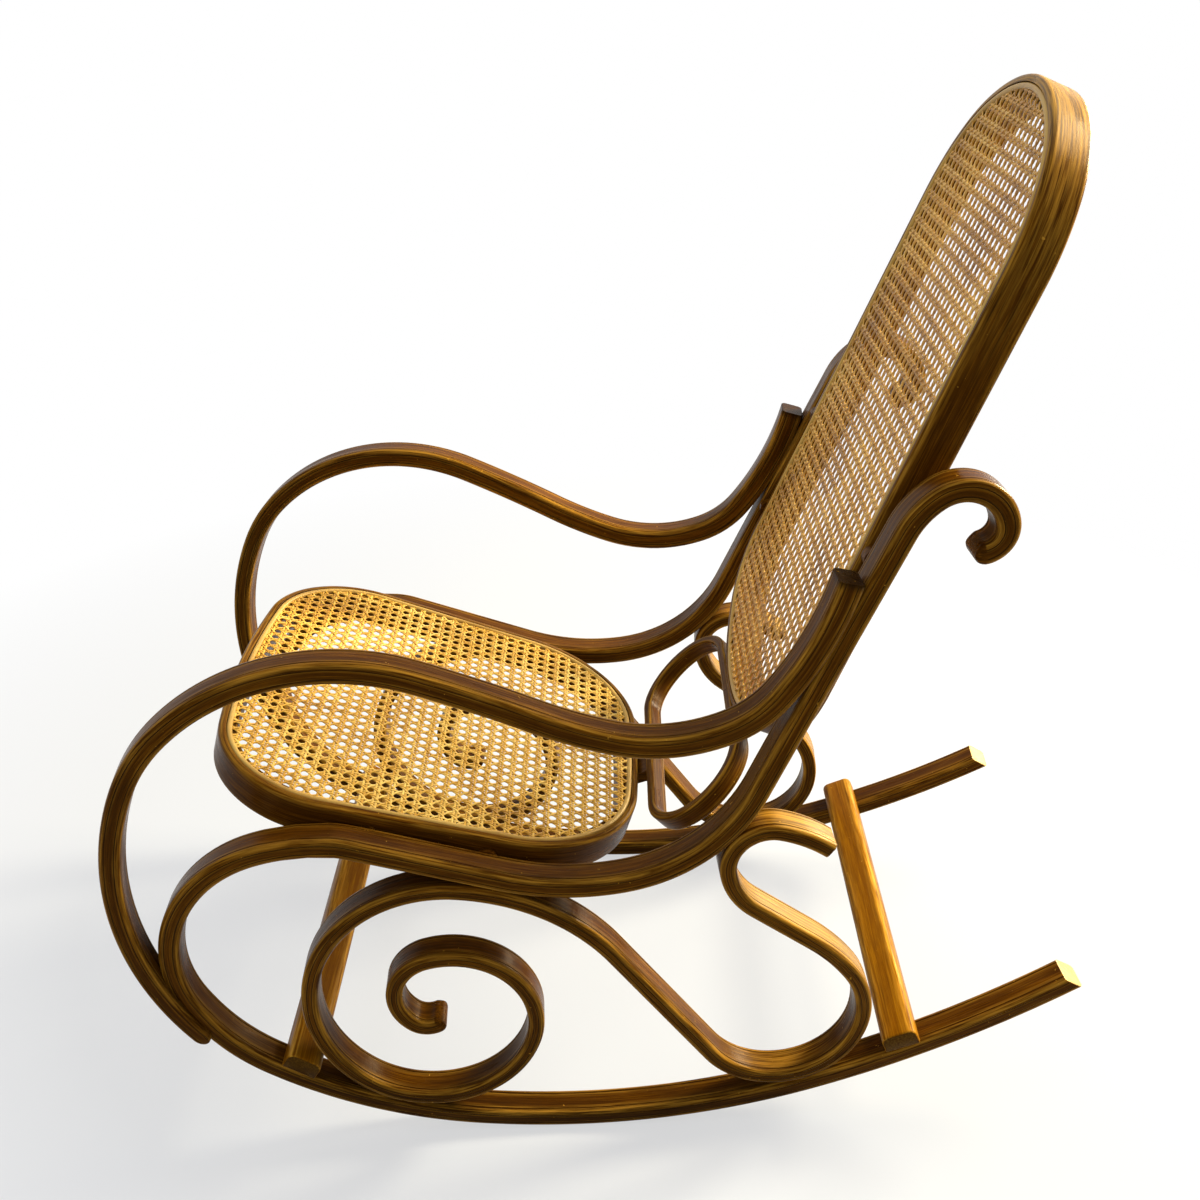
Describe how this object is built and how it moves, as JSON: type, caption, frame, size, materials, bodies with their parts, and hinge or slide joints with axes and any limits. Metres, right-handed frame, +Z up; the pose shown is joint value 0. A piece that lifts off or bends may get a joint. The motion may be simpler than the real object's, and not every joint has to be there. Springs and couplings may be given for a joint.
{
  "type": "rocking chair",
  "caption": "Bentwood rocking chair with scrolled side frames, swept arms, and a woven cane seat and tall reclined cane back.",
  "frame": {"origin": "on the floor under the middle of the bounding box", "axes": "+X to the rear of the chair, -Y to the sitter's left, +Z up"},
  "size_m": [1.0246, 0.6028, 1.0625],
  "materials": {
    "bentwood": "satin",
    "stretcher": "satin",
    "cane": "satin",
    "cane_strip": "satin"
  },
  "bodies": {
    "root": {"rocker_left": "bentwood", "rocker_right": "bentwood", "seat_rail_left": "bentwood", "seat_rail_right": "bentwood", "arm_left": "bentwood", "arm_right": "bentwood", "scroll_left": "bentwood", "scroll_right": "bentwood", "seat_ring": "bentwood", "seat_cane": "cane", "seat_strip": "cane_strip", "back_ring": "bentwood", "back_cane": "cane", "back_strip": "cane_strip", "back_loop": "bentwood", "front_stretcher": "stretcher", "rear_stretcher": "stretcher", "seat_spacers": "bentwood", "back_spacers": "bentwood", "loop_wedge": "bentwood"}
  },
  "joints": []
}
